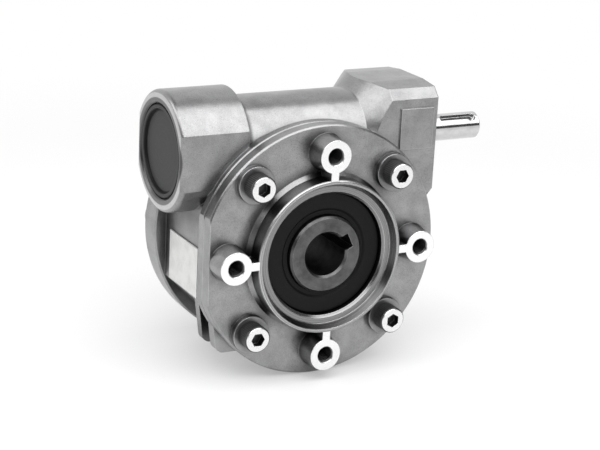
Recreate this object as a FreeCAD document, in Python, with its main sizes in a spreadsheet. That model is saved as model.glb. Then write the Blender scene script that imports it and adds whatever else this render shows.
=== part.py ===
import FreeCAD, Part
import math
import os
import re
import Sketcher

# Worm gear reducer with a hollow output shaft, a keyed input shaft and a bolted front cover.
# The origin is where the output axis meets the middle plane of the worm wheel. X runs along the
# worm towards the input shaft, -Y points out of the front cover and Z is up. Millimetres.

SIZES = [
    ("centre_distance", 30.0, "output axis to worm axis"),
    ("axial_module", 1.5, "worm axial module, wheel transverse module"),
    ("wheel_teeth", 30, "teeth on the worm wheel"),
    ("flank_angle", 20.0, "flank angle in the worm's axial plane, degrees"),
    ("tooth_backlash", 0.3, "thinning of the worm thread at the pitch line"),
    ("root_clearance", 0.3, "tip to root gap in the mesh"),
    ("worm_thread_length", 21.0, "length of the worm thread"),
    ("wheel_face_width", 12.8, "width of the bronze rim"),
    ("wheel_outer_dia", 49.0, "outside of the rim beside its throat"),
    ("hub_bore_dia", 14.0, "hollow output shaft bore"),
    ("hub_key_width", 5.0, "output keyway width"),
    ("hub_key_depth", 2.3, "output keyway depth beyond the bore"),
    ("hub_key_angle", 26.0, "output keyway above +X, degrees"),
    ("hub_dia", 25.0, "hub outside at its bearings and seals"),
    ("hub_length", 56.0, "hub end to end"),
    ("hub_chamfer", 0.7, "hub end chamfers"),
    ("wheel_seat_dia", 33.0, "hub outside under the bronze rim"),
    ("wheel_seat_width", 14.4, "hub shoulder to shoulder, between the output bearings"),
    ("output_bearing_dia", 47.0, "output bearing outside"),
    ("output_bearing_width", 12.0, "output bearing width"),
    ("output_ball_dia", 6.35, "output bearing ball"),
    ("output_ball_count", 9, "balls in an output bearing"),
    ("worm_journal_dia", 10.0, "worm shaft at its bearings and seal"),
    ("worm_bearing_dia", 30.0, "worm bearing outside, also the end bores of the housing"),
    ("worm_bearing_width", 9.0, "worm bearing width"),
    ("worm_ball_dia", 4.762, "worm bearing ball"),
    ("worm_ball_count", 7, "balls in a worm bearing"),
    ("race_clearance", 0.04, "ball to raceway gap"),
    ("worm_neck_dia", 11.2, "shaft between thread and collars"),
    ("worm_neck_length", 3.6, "length of each neck"),
    ("worm_collar_dia", 12.4, "shaft collars that the worm bearings seat on"),
    ("left_shoulder", 27.5, "left worm bearing seat from the middle"),
    ("right_shoulder", 26.5, "right worm bearing seat from the middle"),
    ("input_shaft_start", 50.4, "shoulder of the input shaft from the middle"),
    ("input_shaft_dia", 9.0, "input shaft end"),
    ("input_shaft_length", 20.0, "input shaft end length"),
    ("input_shaft_chamfer", 0.7, "input shaft end chamfer"),
    ("input_key_width", 3.0, "input keyway width"),
    ("input_key_length", 14.0, "input keyway length over its round ends"),
    ("input_key_depth", 1.8, "input keyway depth"),
    ("input_key_gap", 1.6, "input keyway to shaft end"),
    ("input_key_angle", 52.0, "input keyway above the front, degrees"),
    ("output_seal_dia", 40.0, "output oil seal outside"),
    ("output_seal_width", 7.0, "output oil seal width"),
    ("input_seal_width", 7.0, "input oil seal width"),
    ("input_seal_recess", 0.2, "input oil seal below the end face"),
    ("lip_clearance", 0.05, "seal lip to shaft, radial"),
    ("seal_wall", 2.0, "wall of an oil seal"),
    ("spring_wire", 1.1, "garter spring section of an oil seal"),
    ("spring_clearance", 0.05, "garter spring to its groove"),
    ("machined_face", 31.0, "front mounting faces from the middle plane"),
    ("rear_machined_face", 28.6, "rear mounting faces from the middle plane"),
    ("cover_face", 24.1, "front face of the cover from the middle plane"),
    ("joint_face", 19.5, "cover to housing joint from the middle plane"),
    ("rim_chamfer", 0.5, "edge chamfer of cover and flanges"),
    ("ring_step_dia", 45.0, "step inside the ring, at the foot of its sloping wall"),
    ("ring_step_depth", 2.4, "depth of the step inside the ring"),
    ("ring_wall", 2.5, "wall of the ring at its step"),
    ("spigot_dia", "=ring_step_dia + 2 * ring_wall", "ring round the output seal"),
    ("spigot_land", 1.2, "machined width of the ring's end"),
    ("spigot_root", 1.2, "slope at the foot of the ring"),
    ("ring_lead", 0.8, "lead-in to the seal bore, along the axis"),
    ("bearing_wall", 3.0, "cover wall round the front bearing"),
    ("bearing_boss_dia", "=output_bearing_dia + 2 * bearing_wall", "cover boss round the front bearing"),
    ("pilot_step", 2.5, "pilot beyond the bearing boss, radial"),
    ("pilot_dia", "=bearing_boss_dia + 2 * pilot_step", "cover pilot and housing opening"),
    ("pilot_clearance", 0.05, "pilot to opening, radial"),
    ("pilot_length", 4.0, "length of the cover pilot"),
    ("o_ring_groove_depth", 1.4, "o-ring groove in the pilot"),
    ("o_ring_groove_width", 2.0, "o-ring groove in the pilot"),
    ("o_ring_fit", 0.02, "o-ring to groove and opening"),
    ("chamber_half", 9.4, "wheel chamber wall from the middle plane"),
    ("bolt_circle_dia", 65.0, "mounting bosses"),
    ("boss_face_dia", 10.5, "machined end of a mounting boss"),
    ("boss_foot_dia", 11.9, "foot of a mounting boss"),
    ("tapped_hole_dia", 5.0, "mounting hole, tapped for a 6 mm screw"),
    ("tapped_hole_depth", 9.0, "mounting hole depth"),
    ("hole_lead", 0.4, "lead-in of the mounting holes"),
    ("neck_width", 2.6, "web from a mounting boss to the ring"),
    ("mounting_count", 4, "mounting bosses on each side"),
    ("screw_wall", 2.7, "wall between the housing's opening and the cover screws"),
    ("rim_wall", 0.8, "cover and flanges beyond the screw seats"),
    ("screw_count", 4, "cover screws"),
    ("screw_dia", 5.0, "cover screw"),
    ("screw_length", 12.0, "cover screw below its head"),
    ("screw_head_dia", 8.5, "cover screw head"),
    ("screw_head_height", 5.0, "cover screw head"),
    ("screw_chamfer", 0.5, "edge of head and point of screw"),
    ("screw_socket", 4.0, "hexagon socket across flats"),
    ("screw_socket_depth", 2.6, "hexagon socket depth"),
    ("screw_hole_clearance", 0.25, "cover hole round a screw, radial"),
    ("screw_point_room", 1.0, "tapped hole beyond the screw's point"),
    ("seat_dia", 12.0, "seat under a screw head"),
    ("screw_circle_dia", "=pilot_dia + 2 * screw_wall + screw_dia", "cover screws"),
    ("cover_dia", "=screw_circle_dia + seat_dia + 2 * rim_wall", "front cover and both housing flanges"),
    ("screw_column_dia", 11.0, "column in the housing round a cover screw"),
    ("flange_thickness", 3.7, "front flange of the housing"),
    ("edge_flat", 2.5, "flat on the left edge of cover and front flange, depth"),
    ("rear_flange_front", 12.5, "inner face of the rear flange"),
    ("rear_flange_face", 21.0, "outer face of the rear flange"),
    ("body_across", 74.0, "eight-sided body across flats"),
    ("left_face", 45.7, "closed worm end from the middle"),
    ("left_boss_length", 22.7, "length of the closed end's boss"),
    ("left_boss_dia", 38.6, "closed end's boss"),
    ("left_boss_across", 34.4, "closed end's boss across its two flats"),
    ("left_boss_round", 1.8, "rounding of the closed end's rim"),
    ("tube_dia", 32.0, "tube round the worm"),
    ("block_end", 44.0, "input face from the middle"),
    ("block_cone_start", 19.6, "where the tube opens out to the input block"),
    ("block_height", 38.4, "input block height"),
    ("block_width", 35.2, "input block width"),
    ("block_top_flat", 14.6, "flat on top of the block"),
    ("block_shoulder_width", 29.6, "block width at its upper bend"),
    ("block_shoulder_height", 36.6, "block height at its upper bend"),
    ("block_side_height", 30.4, "height of the block's side face"),
    ("worm_tunnel_dia", 24.0, "bore between the worm bearings"),
    ("bore_lead", 0.6, "lead-in of the end bores"),
    ("panel_left", 30.3, "raised square on the block, left edge"),
    ("panel_width", 12.1, "raised square on the block"),
    ("panel_top", 12.2, "raised square's top above the worm axis"),
    ("panel_height", 13.4, "raised square on the block"),
    ("panel_raise", 0.6, "height of the raised square"),
    ("ear_side", 35.0, "outer side of the lower ears at their root"),
    ("ear_slope", 2.0, "how far the ears lean in at the bottom"),
    ("ear_bottom", 31.7, "bottom of the lower ears"),
    ("ear_root", 17.0, "where the ears leave the body"),
    ("ear_round", 3.0, "corner rounding of the ears"),
    ("ear_thickness", 3.0, "inner ears"),
    ("ear_gap", 6.2, "between an inner ear and the front flange"),
    ("circlip_thickness", 1.2, "circlip"),
    ("circlip_groove_depth", 0.7, "circlip groove in the end bores"),
    ("circlip_width", 2.4, "circlip radial width"),
    ("circlip_clearance", 0.05, "circlip to its groove"),
    ("circlip_opening", 40.0, "circlip opening, degrees"),
    ("circlip_eye_dia", 4.2, "circlip eyes"),
    ("circlip_eye_angle", 9.0, "circlip eye from the end of the ring, degrees"),
    ("circlip_eye_hole", 1.8, "hole in a circlip eye"),
    ("cap_width", 7.0, "end cap along the worm axis"),
    ("cap_recess", 0.4, "end cap below the housing's end face"),
    ("cap_wall", 1.6, "end cap wall"),
    ("cap_dish", 1.1, "depth of the end cap's dish"),
    ("cap_floor", 1.7, "end cap floor"),
    ("plate_thickness", 0.5, "bare plate on the left wall"),
    ("plate_top", 1.3, "top edge of the plate"),
    ("plate_height", 16.3, "plate height"),
    ("plate_front", 13.2, "front edge of the plate from the middle plane"),
    ("plate_length", 21.4, "plate along the wall"),
]

DOC = FreeCAD.newDocument("worm_gear_reducer")
ALIASES = "|".join(alias for alias, content, note in SIZES)
PARTS = []

# The front frame has x to the right, y up and z out of the front cover. The worm frame has z along
# the worm towards the input shaft, x down towards the wheel and y to the back.
FRONT = FreeCAD.Rotation(FreeCAD.Vector(1, 0, 0), 90)
ALONG_WORM = FreeCAD.Rotation(FreeCAD.Vector(0, 1, 0), 90)
AXIS = FreeCAD.Vector(0, 0, 1)

# Sizes that follow from the sheet, in its words.
WORM_PITCH_RADIUS = "(centre_distance - axial_module * wheel_teeth / 2)"
WORM_TIP_RADIUS = f"({WORM_PITCH_RADIUS} + axial_module)"
WORM_ROOT_RADIUS = f"({WORM_PITCH_RADIUS} - axial_module - root_clearance)"
AXIAL_PITCH = "(pi * axial_module)"
WORM_LEAD = f"(2 * {AXIAL_PITCH})"
SEAL_SEAT = "(wheel_seat_width / 2 + output_bearing_width)"
BEARING_BOSS_RADIUS = "(bearing_boss_dia / 2)"
PILOT_RADIUS = "(pilot_dia / 2)"
SCREW_CIRCLE_RADIUS = "(screw_circle_dia / 2)"
COVER_RADIUS = "(cover_dia / 2)"
SEAT_FACE = "(machined_face - screw_head_height)"
FLANGE_BACK = "(joint_face - flange_thickness)"
LEFT_BEARING_END = "(left_shoulder + worm_bearing_width)"
RIGHT_BEARING_END = "(right_shoulder + worm_bearing_width)"


def make_sheet():
    sheet = DOC.addObject("Spreadsheet::Sheet", "Sizes")
    for row, (alias, content, note) in enumerate(SIZES, start=1):
        sheet.set(f"A{row}", note)
        sheet.set(f"B{row}", str(content))
        sheet.setAlias(f"B{row}", alias)
    DOC.recompute()
    return sheet


SHEET = make_sheet()


def bound(words):
    """The expression that ties a property to the sheet."""
    return re.sub(rf"\b({ALIASES})\b", r"Sizes.\1", words)


def value(words):
    """The number that words of the sheet stand for."""
    return float(SHEET.evalExpression(words))


def new_body(label, frame, turn=0.0):
    """A body in the front frame or the worm frame, turned about its own axis by turn degrees."""
    body = DOC.addObject("PartDesign::Body", label)
    body.Label = label
    body.Placement = FreeCAD.Placement(FreeCAD.Vector(), frame * FreeCAD.Rotation(AXIS, turn))
    if frame is ALONG_WORM:
        body.setExpression("Placement.Base.z", bound("centre_distance"))
    PARTS.append(body)
    return body


def new_sketch(body, name, plane, lift="0", across="0", along="0", turn=0.0):
    """A sketch on one of the body's own planes, lifted, shifted and turned about its upright."""
    sketch = body.newObject("Sketcher::SketchObject", name)
    planes = {feature.Role: feature for feature in body.Origin.OriginFeatures}
    sketch.AttachmentSupport = (planes[plane], [""])
    sketch.MapMode = "FlatFace"
    turned_by = FreeCAD.Rotation(FreeCAD.Vector(0, 1, 0), turn)
    sketch.AttachmentOffset = FreeCAD.Placement(FreeCAD.Vector(), turned_by)
    for direction, words in zip("xyz", (across, along, lift)):
        if words != "0":
            sketch.setExpression(f"AttachmentOffset.Base.{direction}", bound(words))
    return sketch


def tie_point(sketch, geometry, corner, point):
    """Hold one point of a sketch at a place given in words of the sheet."""
    for kind, axis, words in (("DistanceX", -2, point[0]), ("DistanceY", -1, point[1])):
        if words == "0":
            sketch.addConstraint(Sketcher.Constraint("PointOnObject", geometry, corner, axis))
        else:
            index = sketch.addConstraint(
                Sketcher.Constraint(kind, -1, 1, geometry, corner, value(words)))
            sketch.setExpression(f"Constraints[{index}]", bound(words))


def draw_polygon(sketch, points):
    """A closed outline of straight runs through points."""
    first = sketch.GeometryCount
    corners = [FreeCAD.Vector(value(x), value(y), 0) for x, y in points]
    count = len(corners)
    for i in range(count):
        sketch.addGeometry(Part.LineSegment(corners[i], corners[(i + 1) % count]))
    for i in range(count):
        sketch.addConstraint(
            Sketcher.Constraint("Coincident", first + i, 2, first + (i + 1) % count, 1))
    for i, point in enumerate(points):
        tie_point(sketch, first + i, 1, point)


def draw_circle(sketch, x, y, radius):
    centre = FreeCAD.Vector(value(x), value(y), 0)
    index = sketch.addGeometry(Part.Circle(centre, AXIS, value(radius)))
    tie_point(sketch, index, 3, (x, y))
    size = sketch.addConstraint(Sketcher.Constraint("Radius", index, value(radius)))
    sketch.setExpression(f"Constraints[{size}]", bound(radius))


def turned(body, name, points, kind="Revolution", axis="V_Axis", plane="XZ_Plane", **place):
    """A turned solid, or a turned cut, from an outline of (radius, height) points."""
    sketch = new_sketch(body, f"{name}_outline", plane, **place)
    draw_polygon(sketch, points)
    return turn_sketch(body, name, sketch, kind, axis)


def turned_ring(body, name, radius, height, section):
    """A ring with an eight-sided section, section being half its width across flats."""
    flat = f"{section} * tan(22.5)"
    corners = [(section, flat), (flat, section), (f"-{flat}", section), (f"-{section}", flat),
               (f"-{section}", f"-{flat}"), (f"-{flat}", f"-{section}"), (flat, f"-{section}"),
               (section, f"-{flat}")]
    return turned(body, name, [(f"{radius} + ({out})", f"{height} + ({up})") for out, up in corners])


def turn_sketch(body, name, sketch, kind, axis):
    feature = body.newObject(f"PartDesign::{kind}", name)
    feature.Profile = sketch
    feature.ReferenceAxis = (sketch, [axis])
    feature.Angle = 360
    return feature


def pad(body, name, sketch, length):
    feature = body.newObject("PartDesign::Pad", name)
    feature.Profile = sketch
    feature.setExpression("Length", bound(length))
    return feature


def pocket(body, name, sketch, length):
    """A cut from the sketch against its normal."""
    feature = body.newObject("PartDesign::Pocket", name)
    feature.Profile = sketch
    feature.setExpression("Length", bound(length))
    return feature


def repeat_round(body, name, features, count, axis="Z_Axis"):
    """Copies of features round the body's own axis."""
    pattern = body.newObject("PartDesign::PolarPattern", name)
    pattern.Originals = features
    axes = {feature.Role: feature for feature in body.Origin.OriginFeatures}
    pattern.Axis = (axes[axis], [""])
    pattern.Angle = 360
    pattern.setExpression("Occurrences", bound(count))
    body.Tip = pattern
    return pattern


def round_edges(body, name, base, radius, wanted):
    """A fillet on those edges of a feature for which wanted(edge) is true."""
    DOC.recompute()
    edges = [f"Edge{i}" for i, edge in enumerate(base.Shape.Edges, start=1) if wanted(edge)]
    feature = body.newObject("PartDesign::Fillet", name)
    feature.Base = (base, edges)
    feature.setExpression("Radius", bound(radius))
    return feature


def add_mounting_bosses(body, face, end, side):
    """Tapped bosses and their webs from a flange face to its mounting faces, side -1 for the back."""
    out = f"{side}"
    boss_plane = dict(across="bolt_circle_dia / 2")
    boss = turned(body, "boss", [
        ("0", f"{out} * ({face} - rim_chamfer)"),
        ("boss_foot_dia / 2", f"{out} * ({face} - rim_chamfer)"),
        ("boss_foot_dia / 2", f"{out} * {face}"),
        ("boss_face_dia / 2", f"{out} * {end}"),
        ("0", f"{out} * {end}"),
    ], **boss_plane)
    low = face if side > 0 else f"-{end}"
    web_sketch = new_sketch(body, "boss_web_outline", "XY_Plane", lift=low)
    inner = "spigot_dia / 2 - spigot_land / 2"
    outer = "bolt_circle_dia / 2 - tapped_hole_dia / 2 - hole_lead"
    draw_polygon(web_sketch, [(inner, "-neck_width / 2"), (outer, "-neck_width / 2"),
                              (outer, "neck_width / 2"), (inner, "neck_width / 2")])
    web = pad(body, "boss_web", web_sketch, f"{end} - {face}")
    repeat_round(body, "bosses", [boss, web], "mounting_count")
    hole = turned(body, "mounting_hole", [
        ("0", f"{out} * {end}"),
        ("tapped_hole_dia / 2 + hole_lead", f"{out} * {end}"),
        ("tapped_hole_dia / 2", f"{out} * ({end} - hole_lead)"),
        ("tapped_hole_dia / 2", f"{out} * ({end} - tapped_hole_depth)"),
        ("0", f"{out} * ({end} - tapped_hole_depth - tapped_hole_dia / 4)"),
    ], kind="Groove", **boss_plane)
    repeat_round(body, "mounting_holes", [hole], "mounting_count")


def ring_outside(side, face, end):
    """Corner points of the ring round an output seal, from the flange face to its mounting face."""
    return [
        ("spigot_dia / 2 + spigot_root", f"{side} * {face}"),
        ("spigot_dia / 2", f"{side} * ({face} + spigot_root)"),
        ("spigot_dia / 2", f"{side} * ({end} - hole_lead)"),
        ("spigot_dia / 2 - hole_lead", f"{side} * {end}"),
    ]


def ring_inside(side, end):
    """Corner points of the seal bore and its stepped mouth, from the mounting face inwards."""
    return [
        ("spigot_dia / 2 - spigot_land", f"{side} * {end}"),
        ("ring_step_dia / 2", f"{side} * ({end} - ring_step_depth)"),
        ("output_seal_dia / 2 + ring_lead", f"{side} * ({end} - ring_step_depth)"),
        ("output_seal_dia / 2", f"{side} * ({end} - ring_step_depth - ring_lead)"),
        ("output_seal_dia / 2", f"{side} * {SEAL_SEAT}"),
        ("output_bearing_dia / 2", f"{side} * {SEAL_SEAT}"),
    ]


def cut_edge_flat(body, face, depth):
    """The flat on the left edge of the cover or of the flange behind it."""
    sketch = new_sketch(body, "edge_flat_outline", "XY_Plane", lift=face)
    near = f"-({COVER_RADIUS} - edge_flat)"
    far = f"-({COVER_RADIUS} + edge_flat)"
    half = f"(sqrt(2 * {COVER_RADIUS} * edge_flat - edge_flat ^ 2) + rim_chamfer)"
    draw_polygon(sketch, [(far, f"-{half}"), (near, f"-{half}"), (near, half), (far, half)])
    pocket(body, "edge_flat", sketch, depth)


def make_front_cover():
    body = new_body("front_cover", FRONT)
    turned(body, "plate_and_ring", [
        ("output_bearing_dia / 2", "chamber_half"),
        (BEARING_BOSS_RADIUS, "chamber_half"),
        (BEARING_BOSS_RADIUS, "joint_face - pilot_length"),
        (f"{PILOT_RADIUS} - pilot_clearance", "joint_face - pilot_length"),
        (f"{PILOT_RADIUS} - pilot_clearance", "joint_face"),
        (f"{COVER_RADIUS} - rim_chamfer", "joint_face"),
        (COVER_RADIUS, "joint_face + rim_chamfer"),
        (COVER_RADIUS, "cover_face - rim_chamfer"),
        (f"{COVER_RADIUS} - rim_chamfer", "cover_face"),
        *ring_outside("1", "cover_face", "machined_face"),
        *ring_inside("1", "machined_face"),
    ])
    turned(body, "o_ring_groove", [
        (f"{PILOT_RADIUS} - o_ring_groove_depth", "joint_face - pilot_length / 2 - o_ring_groove_width / 2"),
        (PILOT_RADIUS, "joint_face - pilot_length / 2 - o_ring_groove_width / 2"),
        (PILOT_RADIUS, "joint_face - pilot_length / 2 + o_ring_groove_width / 2"),
        (f"{PILOT_RADIUS} - o_ring_groove_depth", "joint_face - pilot_length / 2 + o_ring_groove_width / 2"),
    ], kind="Groove")
    cut_edge_flat(body, "cover_face", "cover_face - joint_face + rim_chamfer")
    add_mounting_bosses(body, "cover_face", "machined_face", 1)
    place = (f"{SCREW_CIRCLE_RADIUS} * cos(45)", f"{SCREW_CIRCLE_RADIUS} * sin(45)")
    seat_sketch = new_sketch(body, "seat_outline", "XY_Plane", lift="cover_face - rim_chamfer")
    draw_circle(seat_sketch, *place, "seat_dia / 2")
    seat = pad(body, "seat", seat_sketch, f"{SEAT_FACE} - cover_face + rim_chamfer")
    repeat_round(body, "seats", [seat], "screw_count")
    hole_sketch = new_sketch(body, "screw_hole_outline", "XY_Plane", lift=SEAT_FACE)
    draw_circle(hole_sketch, *place, "screw_dia / 2 + screw_hole_clearance")
    hole = pocket(body, "screw_hole", hole_sketch, f"{SEAT_FACE} - joint_face + rim_chamfer")
    repeat_round(body, "screw_holes", [hole], "screw_count")


def add_worm_tube(body):
    """Tube round the worm, with the closed end's boss and its two flats."""
    step = "-(left_face - left_boss_length)"
    on_worm = dict(axis="H_Axis", plane="XY_Plane", along="centre_distance")
    turned(body, "worm_tube", [
        ("-left_face", "0"),
        ("-left_face", "left_boss_dia / 2"),
        (step, "left_boss_dia / 2"),
        (step, "tube_dia / 2"),
        ("right_shoulder", "tube_dia / 2"),
        ("right_shoulder", "0"),
    ], **on_worm)
    flats_sketch = new_sketch(body, "boss_flats_outline", "YZ_Plane", lift=step, across="centre_distance")
    for side in ("1", "-1"):
        draw_polygon(flats_sketch, [
            ("-left_boss_dia", f"{side} * left_boss_across / 2"),
            ("left_boss_dia", f"{side} * left_boss_across / 2"),
            ("left_boss_dia", f"{side} * left_boss_dia"),
            ("-left_boss_dia", f"{side} * left_boss_dia"),
        ])
    flats = pocket(body, "boss_flats", flats_sketch, "left_boss_length")
    end = -value("left_face")
    round_edges(body, "boss_rim", flats, "left_boss_round",
                lambda edge: edge.BoundBox.XMax < end + 0.01)


def add_input_block(body):
    """Eight-faceted block at the input end, opening out of the tube in a cone."""
    sketch = new_sketch(body, "block_outline", "YZ_Plane", lift="block_cone_start", across="centre_distance")
    quarter = [("block_height / 2", "block_top_flat / 2"),
               ("block_shoulder_height / 2", "block_shoulder_width / 2"),
               ("block_side_height / 2", "block_width / 2")]
    front = quarter + [(f"-{up}", out) for up, out in reversed(quarter)]
    back = [(up, f"-{out}") for up, out in reversed(front)]
    draw_polygon(sketch, front + back)
    pad(body, "block", sketch, "block_end - block_cone_start")
    turned(body, "block_cone", [
        ("block_cone_start", "tube_dia / 2"),
        ("block_cone_start + block_height / 2", "tube_dia / 2 + block_height / 2"),
        ("block_cone_start", "tube_dia / 2 + block_height / 2"),
    ], kind="Groove", axis="H_Axis", plane="XY_Plane", along="centre_distance")
    panel_sketch = new_sketch(body, "panel_outline", "XY_Plane", lift="block_width / 2 - panel_raise",
                              along="centre_distance")
    draw_polygon(panel_sketch, [
        ("panel_left", "panel_top - panel_height"),
        ("panel_left + panel_width", "panel_top - panel_height"),
        ("panel_left + panel_width", "panel_top"),
        ("panel_left", "panel_top"),
    ])
    pad(body, "panel", panel_sketch, "2 * panel_raise")


def add_middle_body(body):
    """Eight-sided body between two round flanges, with the ring of the rear seal."""
    sketch = new_sketch(body, "middle_outline", "XY_Plane", lift="-rear_flange_front - rim_chamfer")
    half = "body_across / 2"
    corner = "body_across / 2 * tan(22.5)"
    ring = [(half, corner), (corner, half)]
    ring += [(f"-{x}", y) for x, y in reversed(ring)]
    ring += [(x, f"-{y}") for x, y in reversed(ring)]
    draw_polygon(sketch, ring)
    pad(body, "middle", sketch, f"rear_flange_front + {FLANGE_BACK} + 2 * rim_chamfer")
    turned(body, "front_flange", [
        ("0", FLANGE_BACK),
        (f"{COVER_RADIUS} - rim_chamfer", FLANGE_BACK),
        (COVER_RADIUS, f"{FLANGE_BACK} + rim_chamfer"),
        (COVER_RADIUS, "joint_face - rim_chamfer"),
        (f"{COVER_RADIUS} - rim_chamfer", "joint_face"),
        ("0", "joint_face"),
    ])
    turned(body, "rear_flange", [
        ("0", "-rear_flange_front"),
        (f"{COVER_RADIUS} - rim_chamfer", "-rear_flange_front"),
        (COVER_RADIUS, "-rear_flange_front - rim_chamfer"),
        (COVER_RADIUS, "-rear_flange_face + rim_chamfer"),
        (f"{COVER_RADIUS} - rim_chamfer", "-rear_flange_face"),
        *ring_outside("-1", "rear_flange_face", "rear_machined_face"),
        ("0", "-rear_machined_face"),
    ])


def add_ears(body, name, low, thickness):
    """A pair of leaning ears on the lower corners of the body."""
    sketch = new_sketch(body, f"{name}_outline", "XY_Plane", lift=low)
    for side in ("1", "-1"):
        draw_polygon(sketch, [
            (f"{side} * ear_side", "-ear_root"),
            (f"{side} * (ear_side - ear_slope)", "-ear_bottom"),
            (f"{side} * ear_root", "-ear_bottom"),
            (f"{side} * ear_root", "-ear_root"),
        ])
    ears = pad(body, name, sketch, thickness)
    side = value("ear_side - ear_slope")
    bottom = -value("ear_bottom")
    back = value(low) - 0.01
    front = value(low) + value(thickness) + 0.01

    def outer_corner(edge):
        box = edge.BoundBox
        at_corner = abs(abs(box.Center.x) - side) < 0.01 and abs(box.Center.y - bottom) < 0.01
        return at_corner and back < box.ZMin and box.ZMax < front

    round_edges(body, f"{name}_round", ears, "ear_round", outer_corner)


def add_screw_columns(body):
    """Thickened wall round the four cover screws, behind the front flange."""
    sketch = new_sketch(body, "column_outline", "XY_Plane", lift="chamber_half")
    draw_circle(sketch, f"{SCREW_CIRCLE_RADIUS} * cos(45)", f"{SCREW_CIRCLE_RADIUS} * sin(45)",
                "screw_column_dia / 2")
    column = pad(body, "column", sketch, f"{FLANGE_BACK} - chamber_half + rim_chamfer")
    repeat_round(body, "columns", [column], "screw_count")


def cut_bores(body):
    """Wheel chamber with the rear bearing and seal bores, and the stepped worm bore."""
    turned(body, "chamber", [
        ("0", "joint_face"),
        (PILOT_RADIUS, "joint_face"),
        (PILOT_RADIUS, "-chamber_half"),
        ("output_bearing_dia / 2", "-chamber_half"),
        *reversed(ring_inside("-1", "rear_machined_face")),
        ("0", "-rear_machined_face"),
    ], kind="Groove")
    on_worm = dict(kind="Groove", axis="H_Axis", plane="XY_Plane", along="centre_distance")
    bore = "worm_bearing_dia / 2"
    turned(body, "worm_bore", [
        ("-left_face", "0"),
        ("-left_face", f"{bore} + bore_lead"),
        ("-left_face + bore_lead", bore),
        ("-left_shoulder", bore),
        ("-left_shoulder", "worm_tunnel_dia / 2"),
        ("right_shoulder", "worm_tunnel_dia / 2"),
        ("right_shoulder", bore),
        ("block_end - bore_lead", bore),
        ("block_end", f"{bore} + bore_lead"),
        ("block_end", "0"),
    ], **on_worm)
    for name, side, end in (("left", "-1", LEFT_BEARING_END), ("right", "1", RIGHT_BEARING_END)):
        far = f"({end} + circlip_thickness + circlip_clearance)"
        turned(body, f"{name}_circlip_groove", [
            (f"{side} * {end}", "0"),
            (f"{side} * {end}", f"{bore} + circlip_groove_depth"),
            (f"{side} * {far}", f"{bore} + circlip_groove_depth"),
            (f"{side} * {far}", "0"),
        ], **on_worm)


def make_housing():
    body = new_body("housing", FRONT)
    add_worm_tube(body)
    add_input_block(body)
    add_middle_body(body)
    cut_edge_flat(body, "joint_face", "flange_thickness")
    add_ears(body, "front_ears", FLANGE_BACK, "flange_thickness")
    add_ears(body, "inner_ears", f"{FLANGE_BACK} - ear_gap - ear_thickness", "ear_thickness")
    add_screw_columns(body)
    cut_bores(body)
    add_mounting_bosses(body, "rear_flange_face", "rear_machined_face", -1)
    sketch = new_sketch(body, "tapped_hole_outline", "XY_Plane", lift="joint_face")
    draw_circle(sketch, f"{SCREW_CIRCLE_RADIUS} * cos(45)", f"{SCREW_CIRCLE_RADIUS} * sin(45)",
                "screw_dia / 2")
    depth = f"screw_length - ({SEAT_FACE} - joint_face) + screw_point_room"
    hole = pocket(body, "tapped_hole", sketch, depth)
    repeat_round(body, "tapped_holes", [hole], "screw_count")


def make_output_hub():
    body = new_body("output_hub", FRONT, value("hub_key_angle"))
    upper = [
        ("wheel_seat_dia / 2", "wheel_seat_width / 2"),
        ("hub_dia / 2", "wheel_seat_width / 2"),
        ("hub_dia / 2", "hub_length / 2 - hub_chamfer"),
        ("hub_dia / 2 - hub_chamfer", "hub_length / 2"),
        ("hub_bore_dia / 2 + hub_chamfer", "hub_length / 2"),
        ("hub_bore_dia / 2", "hub_length / 2 - hub_chamfer"),
    ]
    lower = [(radius, f"-({height})") for radius, height in reversed(upper)]
    turned(body, "hub", upper + lower)
    sketch = new_sketch(body, "keyway_outline", "XY_Plane", lift="hub_length / 2")
    far = "hub_bore_dia / 2 + hub_key_depth"
    draw_polygon(sketch, [("0", "-hub_key_width / 2"), (far, "-hub_key_width / 2"),
                          (far, "hub_key_width / 2"), ("0", "hub_key_width / 2")])
    pocket(body, "keyway", sketch, "hub_length")


def involute_point(base_radius, radius, angle_at_base):
    """Point on an involute flank at a radius, the flank leaving its base circle at an angle."""
    pressure = math.acos(base_radius / radius)
    angle = angle_at_base + math.tan(pressure) - pressure
    return FreeCAD.Vector(radius * math.sin(angle), radius * math.cos(angle), 0)


def tooth_space():
    """One space between wheel teeth in the middle plane, centred on the line to the worm axis."""
    module = value("axial_module")
    pitch_radius = module * value("wheel_teeth") / 2
    pressure = math.radians(value("flank_angle"))
    base_radius = pitch_radius * math.cos(pressure)
    half_space = math.pi / (2 * value("wheel_teeth"))
    at_base = half_space - math.tan(pressure) + pressure
    floor = pitch_radius - module - value("root_clearance")
    start = max(floor, base_radius)
    top = value("wheel_outer_dia") / 2 + module
    flank = [involute_point(base_radius, start + (top - start) * share, at_base)
             for share in (0.0, 0.5, 1.0)]
    low_right = flank[0] * (floor / start)
    mirror = [FreeCAD.Vector(-p.x, p.y, 0) for p in flank]
    low_left = FreeCAD.Vector(-low_right.x, low_right.y, 0)
    edges = [Part.LineSegment(low_left, low_right), Part.Arc(*flank),
             Part.LineSegment(flank[2], mirror[2]), Part.Arc(*reversed(mirror))]
    if start > floor:
        edges.insert(1, Part.LineSegment(low_right, flank[0]))
        edges.append(Part.LineSegment(mirror[0], low_left))
    return Part.Wire([edge.toShape() for edge in edges])


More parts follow.
